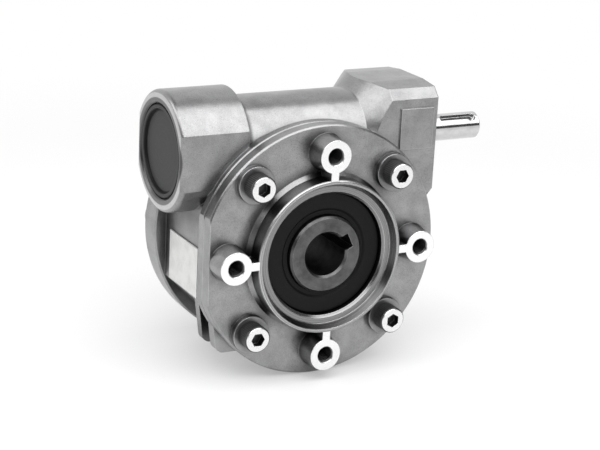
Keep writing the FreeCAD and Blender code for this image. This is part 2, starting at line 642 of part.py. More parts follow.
def make_worm_wheel_rim():
    """Bronze rim with helical tooth spaces and a throat that follows the worm."""
    half = value("wheel_face_width") / 2
    pitch_radius = value("axial_module * wheel_teeth / 2")
    inner = value("wheel_seat_dia / 2")
    outer = value("wheel_outer_dia / 2")
    chamfer = value("rim_chamfer")
    throat = value(f"{WORM_PITCH_RADIUS} - axial_module")
    axis_distance = value("centre_distance")
    throat_half = math.sqrt(throat ** 2 - (axis_distance - outer) ** 2)
    side = [(outer, throat_half), (outer, half - chamfer), (outer - chamfer, half), (inner, half)]
    flat = throat_half * math.tan(math.radians(22.5))
    right = [(axis_distance - throat, flat)] + side
    outline = right + [(radius, -height) for radius, height in reversed(right)]
    corners = [FreeCAD.Vector(radius, 0, height) for radius, height in outline]
    blank = Part.Face(Part.makePolygon(corners + corners[:1])).revolve(FreeCAD.Vector(), AXIS, 360)
    slope = value(f"{WORM_LEAD} / (2 * pi * {WORM_PITCH_RADIUS})")
    reach = half + chamfer
    space = tooth_space()
    sections = []
    for height in (-reach, 0.0, reach):
        section = space.copy()
        turn = FreeCAD.Rotation(AXIS, math.degrees(height * slope / pitch_radius))
        section.Placement = FreeCAD.Placement(FreeCAD.Vector(0, 0, height), turn)
        sections.append(section)
    cutter = Part.makeLoft(sections, True, True)
    count = int(value("wheel_teeth"))
    cutters = []
    for i in range(count):
        copy = cutter.copy()
        copy.rotate(FreeCAD.Vector(), AXIS, 360.0 * i / count)
        cutters.append(copy)
    rim = DOC.addObject("Part::Feature", "worm_wheel_rim")
    rim.Label = "worm_wheel_rim"
    rim.Shape = blank.cut(cutters)
    rim.Placement = FreeCAD.Placement(FreeCAD.Vector(), FRONT)
    PARTS.append(rim)


def make_worm_shaft():
    """Worm with two right-hand threads, cut into a shaft that ends in the keyed input shaft."""
    body = new_body("worm_shaft", ALONG_WORM, -value("input_key_angle"))
    thread = "worm_thread_length / 2"
    slope = f"({WORM_TIP_RADIUS} - worm_neck_dia / 2) / 2"
    neck = f"({thread} + worm_neck_length)"
    end = "input_shaft_start + input_shaft_length"
    turned(body, "shaft", [
        ("0", f"-{LEFT_BEARING_END}"),
        ("worm_journal_dia / 2 - hub_chamfer", f"-{LEFT_BEARING_END}"),
        ("worm_journal_dia / 2", f"-{LEFT_BEARING_END} + hub_chamfer"),
        ("worm_journal_dia / 2", "-left_shoulder"),
        ("worm_collar_dia / 2", "-left_shoulder"),
        ("worm_collar_dia / 2", f"-{neck}"),
        ("worm_neck_dia / 2", f"-{neck}"),
        ("worm_neck_dia / 2", f"-{thread}"),
        (WORM_TIP_RADIUS, f"-{thread} + {slope}"),
        (WORM_TIP_RADIUS, f"{thread} - {slope}"),
        ("worm_neck_dia / 2", thread),
        ("worm_neck_dia / 2", neck),
        ("worm_collar_dia / 2", neck),
        ("worm_collar_dia / 2", "right_shoulder"),
        ("worm_journal_dia / 2", "right_shoulder"),
        ("worm_journal_dia / 2", "input_shaft_start"),
        ("input_shaft_dia / 2", "input_shaft_start"),
        ("input_shaft_dia / 2", f"{end} - input_shaft_chamfer"),
        ("input_shaft_dia / 2 - input_shaft_chamfer", end),
        ("0", end),
    ], turn=-20.0)
    space = f"({AXIAL_PITCH} / 2 + tooth_backlash) / 2"
    above = f"{WORM_TIP_RADIUS} + root_clearance"
    wide = f"({space} + (axial_module + root_clearance) * tan(flank_angle))"
    narrow = f"({space} - (axial_module + root_clearance) * tan(flank_angle))"
    start = f"(-2.5 * {AXIAL_PITCH} - {WORM_LEAD} * input_key_angle / 360)"
    for name, side in (("first", "1"), ("second", "-1")):
        sketch = new_sketch(body, f"{name}_space_outline", "XZ_Plane")
        draw_polygon(sketch, [
            (f"{side} * {WORM_ROOT_RADIUS}", f"{start} - {narrow}"),
            (f"{side} * ({above})", f"{start} - {wide}"),
            (f"{side} * ({above})", f"{start} + {wide}"),
            (f"{side} * {WORM_ROOT_RADIUS}", f"{start} + {narrow}"),
        ])
        helix = body.newObject("PartDesign::SubtractiveHelix", f"{name}_space")
        helix.Profile = sketch
        helix.ReferenceAxis = (sketch, ["V_Axis"])
        helix.Mode = "pitch-height-angle"
        helix.Refine = False
        helix.setExpression("Pitch", bound(WORM_LEAD))
        helix.setExpression("Height", bound(f"5 * {AXIAL_PITCH} + {WORM_LEAD} * input_key_angle / 360"))
    key_sketch = new_sketch(body, "input_keyway_outline", "XZ_Plane", lift="input_shaft_dia / 2")
    high = f"({end} - input_key_gap - input_key_width / 2)"
    low = f"({high} - input_key_length + input_key_width)"
    draw_slot(key_sketch, low, high, "input_key_width / 2")
    pocket(body, "input_keyway", key_sketch, "input_key_depth")


def draw_slot(sketch, low, high, radius):
    """An upright slot with round ends, centred on the sketch's vertical axis."""
    r = value(radius)
    bottom = FreeCAD.Vector(0, value(low), 0)
    top = FreeCAD.Vector(0, value(high), 0)
    side = FreeCAD.Vector(r, 0, 0)
    cap = FreeCAD.Vector(0, r, 0)
    sketch.addGeometry(Part.LineSegment(bottom + side, top + side))
    sketch.addGeometry(Part.Arc(top + side, top + cap, top - side))
    sketch.addGeometry(Part.LineSegment(top - side, bottom - side))
    sketch.addGeometry(Part.Arc(bottom - side, bottom - cap, bottom + side))
    for line, arc, line_end, arc_end in ((0, 1, 2, 1), (2, 1, 1, 2), (2, 3, 2, 1), (0, 3, 1, 2)):
        sketch.addConstraint(Sketcher.Constraint("Tangent", line, line_end, arc, arc_end))
    tie_point(sketch, 1, 3, ("0", high))
    tie_point(sketch, 3, 3, ("0", low))
    size = sketch.addConstraint(Sketcher.Constraint("Radius", 1, r))
    sketch.setExpression(f"Constraints[{size}]", bound(radius))


def make_bearing(prefix, frame, kind, bore, low):
    """Deep-groove bearing: two rings, its balls and the cage that spaces them."""
    outside = f"{kind}_bearing_dia / 2"
    width = f"{kind}_bearing_width"
    ball = f"{kind}_ball_dia / 2"
    pitch = f"({bore} + {kind}_bearing_dia) / 4"
    middle = f"{low} + {width} / 2"
    land = f"0.7 * {ball}"

    def ring(label, bare, outward):
        """A ring whose bare side is a cylinder and whose other side carries the raceway."""
        body = new_body(label, frame)
        race = f"({ball} + race_clearance)"
        flat = f"{race} * tan(15)"
        slope = f"({race} - {land} * cos(30)) / sin(30)"
        eased = f"{bare} - {outward} * rim_chamfer"
        shoulder = f"{pitch} + {outward} * {land}"
        floor = f"{pitch} + {outward} * {race}"
        turned(body, "ring", [
            (shoulder, low),
            (eased, low),
            (bare, f"{low} + rim_chamfer"),
            (bare, f"{low} + {width} - rim_chamfer"),
            (eased, f"{low} + {width}"),
            (shoulder, f"{low} + {width}"),
            (shoulder, f"{middle} + {slope}"),
            (floor, f"{middle} + {flat}"),
            (floor, f"{middle} - {flat}"),
            (shoulder, f"{middle} - {slope}"),
        ])

    ring(f"{prefix}_bearing_outer_ring", outside, 1)
    ring(f"{prefix}_bearing_inner_ring", f"{bore} / 2", -1)

    count = int(value(f"{kind}_ball_count"))
    balls = []
    for i in range(count):
        sphere = DOC.addObject("Part::Sphere", f"{prefix}_ball_{i + 1}")
        sphere.setExpression("Radius", bound(ball))
        angle = f"(90 + 360 * {i} / {kind}_ball_count)"
        sphere.setExpression("Placement.Base.x", bound(f"{pitch} * cos({angle})"))
        sphere.setExpression("Placement.Base.y", bound(f"{pitch} * sin({angle})"))
        sphere.setExpression("Placement.Base.z", bound(middle))
        balls.append(sphere)
    group = DOC.addObject("Part::Compound", f"{prefix}_bearing_balls")
    group.Label = f"{prefix}_bearing_balls"
    group.Links = balls
    group.Placement = FreeCAD.Placement(FreeCAD.Vector(), frame)
    if frame is ALONG_WORM:
        group.setExpression("Placement.Base.z", bound("centre_distance"))
    PARTS.append(group)

    cage = new_body(f"{prefix}_bearing_cage", frame)
    room = f"({ball} + 2 * race_clearance)"
    half_height = f"({room} + {ball} / 4)"
    inner = f"{pitch} - {ball} / 3"
    outer = f"{pitch} + {ball} / 3"
    turned(cage, "cage", [
        (inner, f"{middle} - {half_height}"), (outer, f"{middle} - {half_height}"),
        (outer, f"{middle} + {half_height}"), (inner, f"{middle} + {half_height}"),
    ])
    sketch = new_sketch(cage, "pocket_outline", "XZ_Plane")
    draw_circle(sketch, "0", middle, room)
    hole = pocket(cage, "ball_pocket", sketch, outside)
    repeat_round(cage, "ball_pockets", [hole], f"{kind}_ball_count")


def make_oil_seal(prefix, frame, outside, shaft, low, width, side):
    """Lip seal with its garter spring, the open back at height low and the face side * width from it."""
    lip = f"({shaft} / 2 + lip_clearance)"
    rim = f"{outside} / 2"
    face = f"({low} + {side} * {width})"
    spring_radius = f"({lip} + seal_wall)"
    spring_height = f"({face} - {side} * 0.62 * {width})"
    room = "(spring_wire / 2 + spring_clearance)"
    seal = new_body(f"{prefix}_oil_seal", frame)
    turned(seal, "seal", [
        (rim, low),
        (rim, f"{face} - {side} * rim_chamfer"),
        (f"{rim} - rim_chamfer", face),
        (f"{lip} + 1.1 * seal_wall", face),
        (f"{lip} + 0.75 * seal_wall", f"{face} - {side} * 0.08 * {width}"),
        (f"{lip} + 0.1 * seal_wall", f"{face} - {side} * 0.04 * {width}"),
        (lip, f"{face} - {side} * 0.1 * {width}"),
        (f"{lip} + 0.45 * seal_wall", f"{face} - {side} * 0.34 * {width}"),
        (lip, f"{face} - {side} * 0.62 * {width}"),
        (f"{lip} + 0.55 * seal_wall", f"{face} - {side} * 0.86 * {width}"),
        (spring_radius, f"{face} - {side} * 0.86 * {width}"),
        (spring_radius, f"{spring_height} - {side} * {room}"),
        (f"{spring_radius} - {room}", f"{spring_height} - {side} * {room}"),
        (f"{spring_radius} - {room}", f"{spring_height} + {side} * {room}"),
        (spring_radius, f"{spring_height} + {side} * {room}"),
        (spring_radius, f"{face} - {side} * 0.3 * {width}"),
        (f"{rim} - seal_wall", f"{face} - {side} * 0.3 * {width}"),
        (f"{rim} - seal_wall", low),
    ])
    spring = new_body(f"{prefix}_seal_spring", frame)
    turned_ring(spring, "spring", spring_radius, spring_height, "(spring_wire / 2)")


def make_circlip(prefix, end, side):
    """Internal circlip in its groove, holding a worm bearing against its shoulder."""
    body = new_body(f"{prefix}_circlip", ALONG_WORM, 180 + value("circlip_opening") / 2)
    outer = "worm_bearing_dia / 2 + circlip_groove_depth - circlip_clearance"
    inner = f"{outer} - circlip_width"
    near = f"{side} * {end}"
    far = f"{side} * ({end} + circlip_thickness)"
    ring = turned(body, "spring_ring", [(inner, near), (outer, near), (outer, far), (inner, far)])
    ring.setExpression("Angle", bound("360 - circlip_opening"))
    low = near if float(side) > 0 else far
    eye_radius = f"({inner} - circlip_eye_dia / 4)"
    for name, angle in (("first", "circlip_eye_angle"), ("second", "(-circlip_opening - circlip_eye_angle)")):
        x = f"{eye_radius} * cos({angle})"
        y = f"{eye_radius} * sin({angle})"
        sketch = new_sketch(body, f"{name}_eye_outline", "XY_Plane", lift=low)
        draw_circle(sketch, x, y, "circlip_eye_dia / 2")
        draw_circle(sketch, x, y, "circlip_eye_hole / 2")
        pad(body, f"{name}_eye", sketch, "circlip_thickness")


def make_end_cap():
    """Dished rubber-coated cap that closes the blind end of the worm bore."""
    body = new_body("end_cap", ALONG_WORM)
    outer = "-(left_face - cap_recess)"
    inner = f"({outer} + cap_width)"
    floor = f"({outer} + cap_dish)"
    wall = "worm_bearing_dia / 2 - cap_wall"
    turned(body, "cap", [
        ("0", floor),
        (f"{wall} - cap_wall / 3", floor),
        (wall, outer),
        ("worm_bearing_dia / 2 - rim_chamfer", outer),
        ("worm_bearing_dia / 2", f"{outer} + rim_chamfer"),
        ("worm_bearing_dia / 2", inner),
        (wall, inner),
        (f"{wall} - cap_wall / 3", f"{floor} + cap_floor"),
        ("0", f"{floor} + cap_floor"),
    ])


def make_o_ring():
    body = new_body("cover_o_ring", FRONT)
    turned_ring(body, "o_ring", f"{PILOT_RADIUS} - o_ring_groove_depth / 2",
                "joint_face - pilot_length / 2", "(o_ring_groove_depth / 2 - o_ring_fit)")


def make_cover_screws():
    """Four socket-head screws through the front cover, one group of separate solids."""
    body = DOC.addObject("PartDesign::Body", "cover_screw")
    turned(body, "screw", [
        ("0", "-screw_length"),
        ("screw_dia / 2 - screw_chamfer", "-screw_length"),
        ("screw_dia / 2", "-screw_length + screw_chamfer"),
        ("screw_dia / 2", "0"),
        ("screw_head_dia / 2", "0"),
        ("screw_head_dia / 2", "screw_head_height - screw_chamfer"),
        ("screw_head_dia / 2 - screw_chamfer", "screw_head_height"),
        ("0", "screw_head_height"),
    ])
    sketch = new_sketch(body, "socket_outline", "XY_Plane", lift="screw_head_height")
    corner = "screw_socket / (2 * cos(30))"
    draw_polygon(sketch, [(f"{corner} * cos({angle})", f"{corner} * sin({angle})")
                          for angle in (15, 75, 135, 195, 255, 315)])
    pocket(body, "socket", sketch, "screw_socket_depth")
    DOC.recompute()
    radius = value(SCREW_CIRCLE_RADIUS)
    seat = value(SEAT_FACE)
    count = int(value("screw_count"))
    screws = []
    for i in range(count):
        angle = 45 + 360.0 * i / count
        turn = FreeCAD.Rotation(AXIS, angle)
        place = turn.multVec(FreeCAD.Vector(radius, 0, seat))
        screw = body.Shape.copy()
        screw.Placement = FreeCAD.Placement(place, turn)
        screws.append(screw)
    group = DOC.addObject("Part::Feature", "cover_screws")
    group.Label = "cover_screws"
    group.Shape = Part.makeCompound(screws)
    group.Placement = FreeCAD.Placement(FreeCAD.Vector(), FRONT)
    PARTS.append(group)


def make_nameplate():
    """Bare plate on the flat left wall between the flanges."""
    plate = DOC.addObject("Part::Box", "nameplate")
    plate.Label = "nameplate"
    for name, words in (("Length", "plate_thickness"), ("Width", "plate_length"), ("Height", "plate_height")):
        plate.setExpression(name, bound(words))
    for axis, words in (("x", "-body_across / 2 - plate_thickness"), ("y", "-plate_front"),
                        ("z", "plate_top - plate_height")):
        plate.setExpression(f"Placement.Base.{axis}", bound(words))
    PARTS.append(plate)


def make_parts():
    make_housing()
    make_front_cover()
    make_o_ring()
    make_cover_screws()
    make_nameplate()
    make_output_hub()
    make_worm_wheel_rim()
    make_worm_shaft()
    front_low = "(wheel_seat_width / 2)"
    rear_low = "(-wheel_seat_width / 2 - output_bearing_width)"
    make_bearing("front", FRONT, "output", "hub_dia", front_low)
    make_bearing("rear", FRONT, "output", "hub_dia", rear_low)
    make_bearing("left", ALONG_WORM, "worm", "worm_journal_dia", f"(-{LEFT_BEARING_END})")
    make_bearing("right", ALONG_WORM, "worm", "worm_journal_dia", "right_shoulder")
    make_oil_seal("front", FRONT, "output_seal_dia", "hub_dia", SEAL_SEAT, "output_seal_width", "1")
    make_oil_seal("rear", FRONT, "output_seal_dia", "hub_dia", f"(-{SEAL_SEAT})", "output_seal_width", "-1")
    make_oil_seal("input", ALONG_WORM, "worm_bearing_dia", "worm_journal_dia",
                  "(block_end - input_seal_recess - input_seal_width)", "input_seal_width", "1")
    make_circlip("left", LEFT_BEARING_END, "-1")
    make_circlip("right", RIGHT_BEARING_END, "1")
    make_end_cap()


def check_and_export():
    DOC.recompute()
    for item in DOC.Objects:
        if "Invalid" in item.State or "Error" in item.State:
            raise RuntimeError(f"{item.Label} failed: {item.State}")
    for part in PARTS:
        if part.Shape.isNull() or not part.Shape.isValid():
            raise RuntimeError(f"{part.Label} has no valid shape")
    os.makedirs("parts", exist_ok=True)
    for part in PARTS:
        part.Shape.exportStep(f"parts/{part.Label}.step")


make_parts()
check_and_export()
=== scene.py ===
import math

import bmesh
import bpy
from mathutils import Matrix, Vector


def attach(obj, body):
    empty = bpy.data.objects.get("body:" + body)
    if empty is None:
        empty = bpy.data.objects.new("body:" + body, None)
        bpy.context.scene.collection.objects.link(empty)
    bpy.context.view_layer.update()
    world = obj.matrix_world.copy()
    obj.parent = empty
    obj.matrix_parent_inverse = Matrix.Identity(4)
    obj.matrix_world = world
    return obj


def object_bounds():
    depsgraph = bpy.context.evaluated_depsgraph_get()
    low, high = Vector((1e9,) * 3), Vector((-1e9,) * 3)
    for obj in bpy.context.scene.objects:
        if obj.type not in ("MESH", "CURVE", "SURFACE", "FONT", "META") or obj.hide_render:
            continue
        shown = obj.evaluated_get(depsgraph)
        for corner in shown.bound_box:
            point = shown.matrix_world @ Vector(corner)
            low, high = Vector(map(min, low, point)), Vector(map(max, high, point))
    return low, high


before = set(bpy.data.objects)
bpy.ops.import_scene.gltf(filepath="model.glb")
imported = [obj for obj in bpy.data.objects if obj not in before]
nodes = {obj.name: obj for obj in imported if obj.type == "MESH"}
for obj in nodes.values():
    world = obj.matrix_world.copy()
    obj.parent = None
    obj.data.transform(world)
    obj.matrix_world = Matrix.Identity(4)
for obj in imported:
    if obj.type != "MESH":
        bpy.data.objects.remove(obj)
cad_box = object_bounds()

MM = 0.001

# Places on the part that its looks follow, in millimetres of its own frame.
FRONT_FACE = -31.0          # mounting faces, along y
REAR_FACE = 28.6
COVER_FACE = 24.1           # front of the cover, out from the middle plane
FLANGE_BACK = -15.8         # sides of the flanges that face each other, along y
REAR_FLANGE_FRONT = 12.5
INPUT_FACE = 44.0           # ends of the worm bore, along x
CLOSED_END = -45.7
BOSS_FOOT = -23.0           # inner end of the closed end's boss, along x
WORM_HEIGHT = 30.0          # worm axis, along z
TUBE_RADIUS = 16.0          # tube round the worm
RIM_RADIUS = 41.0           # cover and flanges
STEP_RADIUS = 22.5          # step inside the ring round the output seal
LAND_INSIDE = 23.8          # flat end of that ring
LAND_OUTSIDE = 24.6
BOLT_RADIUS = 32.5          # mounting holes, from the output axis
HOLE_RADIUS = 2.5
SCREW_OFFSET = 24.18        # cover screws, along x and z from the output axis
SCREW_HEAD_RADIUS = 4.25

# The photograph's camera: width and focal length in pixels, sensor in millimetres.
PHOTO_WIDTH = 600.0
FOCAL_LENGTH = 1698.8
SENSOR_WIDTH = 36.0


def grey(level):
    return (level, level, level)


class Shader:
    """One node material. Lengths inside it are millimetres in the part's own frame."""

    def __init__(self, name, color, metallic, roughness):
        self.material = bpy.data.materials.new(name)
        self.material.use_nodes = True
        self.tree = self.material.node_tree
        self.surface = self.tree.nodes["Principled BSDF"]
        self.surface.inputs["Metallic"].default_value = metallic
        self.surface.inputs["Roughness"].default_value = roughness
        self.surface.inputs["Base Color"].default_value = (*color, 1.0)
        self.material.diffuse_color = (*color, 1.0)
        place = self.node("ShaderNodeTexCoord").outputs["Object"]
        scale = self.node("ShaderNodeVectorMath", operation="SCALE")
        scale.inputs["Scale"].default_value = 1.0 / MM
        self.link(place, scale.inputs[0])
        self.place = scale.outputs[0]
        split = self.node("ShaderNodeSeparateXYZ")
        self.link(self.place, split.inputs[0])
        self.x, self.y, self.z = split.outputs
        facing = self.node("ShaderNodeNewGeometry")
        self.normal = facing.outputs["Normal"]

    def node(self, kind, **settings):
        made = self.tree.nodes.new(kind)
        for key, setting in settings.items():
            setattr(made, key, setting)
        return made

    def link(self, source, target):
        self.tree.links.new(source, target)

    def put(self, target, source):
        """Feeds a socket from another socket or from a number."""
        if isinstance(source, (int, float)):
            target.default_value = source
        else:
            self.link(source, target)

    def math(self, operation, first, second=0.0, third=0.0):
        made = self.node("ShaderNodeMath", operation=operation)
        for socket, source in zip(made.inputs, (first, second, third)):
            self.put(socket, source)
        return made.outputs[0]

    def step(self, value, start, end):
        """0 at start and before it, 1 at end and past it, smooth between. It may run downwards."""
        made = self.node("ShaderNodeMapRange", interpolation_type="SMOOTHSTEP")
        self.put(made.inputs["Value"], value)
        made.inputs["From Min"].default_value = start
        made.inputs["From Max"].default_value = end
        return made.outputs["Result"]

    def spread(self, value, low, high):
        """A value from 0 to 1 stretched between low and high."""
        made = self.node("ShaderNodeMapRange")
        self.put(made.inputs["Value"], value)
        made.inputs["To Min"].default_value = low
        made.inputs["To Max"].default_value = high
        return made.outputs["Result"]

    def radius(self, first, second):
        return self.math("SQRT", self.math("ADD", self.math("MULTIPLY", first, first),
                                           self.math("MULTIPLY", second, second)))

    def noise(self, per_mm, detail=3.0, rough=0.6, vector=None):
        made = self.node("ShaderNodeTexNoise")
        self.link(vector or self.place, made.inputs["Vector"])
        made.inputs["Scale"].default_value = per_mm
        made.inputs["Detail"].default_value = detail
        made.inputs["Roughness"].default_value = rough
        return made.outputs["Fac"]

    def lines(self, value, per_mm):
        """Uneven fine lines across one coordinate, as a lathe tool leaves them."""
        join = self.node("ShaderNodeCombineXYZ")
        self.put(join.inputs["X"], self.math("MULTIPLY", value, per_mm))
        made = self.node("ShaderNodeTexNoise")
        self.link(join.outputs[0], made.inputs["Vector"])
        made.inputs["Scale"].default_value = 1.0
        made.inputs["Detail"].default_value = 2.0
        return made.outputs["Fac"]

    def blend(self, share, first, second):
        """A colour between two colours, each a tuple or a socket."""
        made = self.node("ShaderNodeMix", data_type="RGBA")
        self.put(made.inputs["Factor"], share)
        for socket, source in ((made.inputs[6], first), (made.inputs[7], second)):
            if isinstance(source, tuple):
                socket.default_value = (*source, 1.0)
            else:
                self.link(source, socket)
        return made.outputs[2]

    def between(self, share, first, second):
        """A number between two numbers, each a value or a socket."""
        made = self.node("ShaderNodeMix", data_type="FLOAT")
        self.put(made.inputs["Factor"], share)
        self.put(made.inputs[2], first)
        self.put(made.inputs[3], second)
        return made.outputs[0]

    def eased_edges(self, width):
        """Normals rounded over sharp edges, and how far each spot is onto an edge, 0 to 1."""
        bevel = self.node("ShaderNodeBevel", samples=6)
        bevel.inputs["Radius"].default_value = width * MM
        lean = self.node("ShaderNodeVectorMath", operation="DOT_PRODUCT")
        self.link(bevel.outputs[0], lean.inputs[0])
        self.link(self.normal, lean.inputs[1])
        edge = self.step(self.math("SUBTRACT", 1.0, lean.outputs["Value"]), 0.01, 0.25)
        return bevel.outputs[0], edge

    def openness(self, reach):
        """1 on open surfaces, falling to 0 deep in corners and under ledges within reach mm."""
        made = self.node("ShaderNodeAmbientOcclusion", samples=16)
        made.inputs["Distance"].default_value = reach * MM
        return made.outputs["AO"]

    def relief(self, height, depth, normal=None):
        """Bump of a 0 to 1 height that is depth mm deep."""
        bump = self.node("ShaderNodeBump")
        bump.inputs["Strength"].default_value = 1.0
        bump.inputs["Distance"].default_value = depth * MM
        self.put(bump.inputs["Height"], height)
        if normal is not None:
            self.link(normal, bump.inputs["Normal"])
        return bump.outputs[0]

    def color(self, source):
        self.link(source, self.surface.inputs["Base Color"])

    def roughness(self, source):
        self.link(source, self.surface.inputs["Roughness"])

    def shape(self, source):
        self.link(source, self.surface.inputs["Normal"])


def any_of(shader, *masks):
    """The largest of some masks or values."""
    total = masks[0]
    for mask in masks[1:]:
        total = shader.math("MAXIMUM", total, mask)
    return total


def casting():
    """Blasted aluminium with bright milled mounting faces and a turned ring and input face."""
    s = Shader("cast_aluminium", grey(0.36), 1.0, 0.42)
    from_axis = s.radius(s.x, s.z)
    from_worm = s.radius(s.y, s.math("SUBTRACT", s.z, WORM_HEIGHT))
    open_share = s.openness(6.0)
    normal, edge = s.eased_edges(0.4)
    # Painted highlight along edges, kept off hollow edges.
    edge = s.math("MULTIPLY", edge, s.step(open_share, 0.55, 0.85))

    # Milled and turned places, and the tapped holes.
    front_face = s.step(s.y, FRONT_FACE + 0.20, FRONT_FACE + 0.08)
    rear_face = s.step(s.y, REAR_FACE - 0.20, REAR_FACE - 0.08)
    milled = any_of(s, front_face, rear_face)
    raised = s.step(s.math("ABSOLUTE", s.y), COVER_FACE + 0.5, COVER_FACE + 1.1)
    ring = s.math("MULTIPLY", raised, s.step(from_axis, LAND_OUTSIDE + 0.2, LAND_OUTSIDE))
    ledge = s.math("MULTIPLY", ring, s.step(from_axis, STEP_RADIUS + 0.1, STEP_RADIUS - 0.1))
    wall = s.math("MULTIPLY", s.step(from_axis, STEP_RADIUS, STEP_RADIUS + 0.2),
                  s.step(from_axis, LAND_INSIDE + 0.1, LAND_INSIDE - 0.1))
    wall = s.math("MULTIPLY", ring, wall)
    input_end = s.step(s.x, INPUT_FACE - 0.15, INPUT_FACE - 0.05)
    cap_end = s.step(s.x, CLOSED_END + 0.25, CLOSED_END + 0.10)
    turned = any_of(s, ring, input_end)
    across = s.math("ABSOLUTE", s.x)
    up = s.math("ABSOLUTE", s.z)
    beside = s.math("SUBTRACT", any_of(s, across, up), BOLT_RADIUS)
    off_hole = s.radius(beside, s.math("MINIMUM", across, up))
    depth = any_of(s, s.math("SUBTRACT", FRONT_FACE, s.y), s.math("SUBTRACT", s.y, REAR_FACE))
    hole = s.math("MULTIPLY", s.step(off_hole, HOLE_RADIUS + 0.25, HOLE_RADIUS + 0.10),
                  s.step(depth, -0.3, -1.2))

    # Painted shade: darker in corners, a painted shadow between the flanges below the tube, and a painted
    # shadow line at the foot of the closed end's boss.
    between_flanges = s.math("MULTIPLY", s.step(s.y, FLANGE_BACK - 0.1, FLANGE_BACK + 0.1),
                             s.step(s.y, REAR_FLANGE_FRONT + 0.1, REAR_FLANGE_FRONT - 0.1))
    under_tube = s.math("MULTIPLY", between_flanges, s.step(s.z, 18.0, 10.0))
    sheltered = s.math("MULTIPLY", under_tube, s.step(s.openness(24.0), 0.98, 0.60))
    outer = s.spread(s.step(from_axis, RIM_RADIUS - 3.0, RIM_RADIUS), 1.0, 0.35)
    corners = s.math("MULTIPLY", s.step(open_share, 0.95, 0.30), outer)
    boss_foot = s.math("MULTIPLY", s.step(s.x, BOSS_FOOT + 3.2, BOSS_FOOT + 1.6),
                       s.step(from_worm, TUBE_RADIUS + 1.0, TUBE_RADIUS + 0.6))
    painted_shade = any_of(s, corners, s.math("MULTIPLY", sheltered, 0.85), s.math("MULTIPLY", boss_foot, 0.9))

    # Colours of the cast, turned and milled places, with painted highlights on edges and painted shade in
    # corners.
    mottle = s.noise(0.16, 4.0)
    grain = s.noise(4.0, 2.0, 0.7)
    blast = s.between(0.5, mottle, grain)
    cast = s.blend(s.step(blast, 0.3, 0.7), (0.23, 0.23, 0.233), (0.37, 0.37, 0.373))
    cast = s.blend(s.math("MULTIPLY", cap_end, s.spread(grain, 0.3, 1.0)), cast, grey(0.66))
    # Painted highlight: cast edges painted lighter.
    cast = s.blend(s.math("MULTIPLY", edge, 0.6), cast, (0.80, 0.80, 0.805))
    # Painted shade: corners, the wall below the tube and the boss foot painted near black.
    cast = s.blend(s.math("MULTIPLY", painted_shade, 0.85), cast, grey(0.03))
    rings = s.lines(s.between(input_end, from_axis, from_worm), 5.0)
    lathe = s.blend(s.step(rings, 0.3, 0.7), grey(0.17), grey(0.50))
    # Painted shade: the corner at the ring's inner step and the ring's inner wall painted dark.
    lathe = s.blend(s.math("MULTIPLY", ledge, 0.30), lathe, grey(0.05))
    lathe = s.blend(s.math("MULTIPLY", wall, 0.75), lathe, grey(0.10))
    # Painted highlight: turned edges painted lighter.
    lathe = s.blend(s.math("MULTIPLY", edge, 0.7), lathe, grey(0.93))
    # The same painted shade on the turned ring.
    lathe = s.blend(s.math("MULTIPLY", painted_shade, 0.8), lathe, grey(0.05))
    mill = s.blend(s.noise(1.1, 3.0), grey(0.84), grey(0.95))
    tone = s.blend(turned, s.blend(milled, cast, mill), lathe)
    # Painted shade: the tapped holes painted near black.
    s.color(s.blend(hole, tone, grey(0.035)))

    # Cast places are matt and grainy, the others follow the tool's lines.
    smooth = any_of(s, milled, turned)
    s.roughness(s.between(smooth, s.spread(grain, 0.24, 0.34), s.spread(rings, 0.18, 0.32)))
    cast_relief = s.relief(mottle, 0.10, s.relief(grain, 0.010, normal))
    turned_relief = s.relief(rings, 0.012, normal)
    pick = s.node("ShaderNodeMix", data_type="VECTOR")
    s.put(pick.inputs["Factor"], smooth)
    s.link(cast_relief, pick.inputs[4])
    s.link(turned_relief, pick.inputs[5])
    s.shape(pick.outputs[1])
    return s.material


def turned_steel(name, dark, light, roughness, axis, centre=0.0):
    """Turned steel whose tool lines run round its own axis, x or y."""
    s = Shader(name, light, 1.0, roughness)
    along, side = (s.x, s.y) if axis == "x" else (s.y, s.x)
    from_axis = s.radius(side, s.math("SUBTRACT", s.z, centre))
    rings = s.lines(s.math("ADD", along, from_axis), 7.0)
    stain = s.noise(0.3, 4.0)
    normal, edge = s.eased_edges(0.25)
    tone = s.blend(s.step(s.between(0.5, rings, stain), 0.3, 0.7), dark, light)
    # Painted highlight: edges painted lighter.
    s.color(s.blend(s.math("MULTIPLY", edge, 0.5), tone, grey(0.9)))
    s.roughness(s.spread(rings, roughness - 0.07, roughness + 0.07))
    s.shape(s.relief(rings, 0.012, normal))
    return s.material


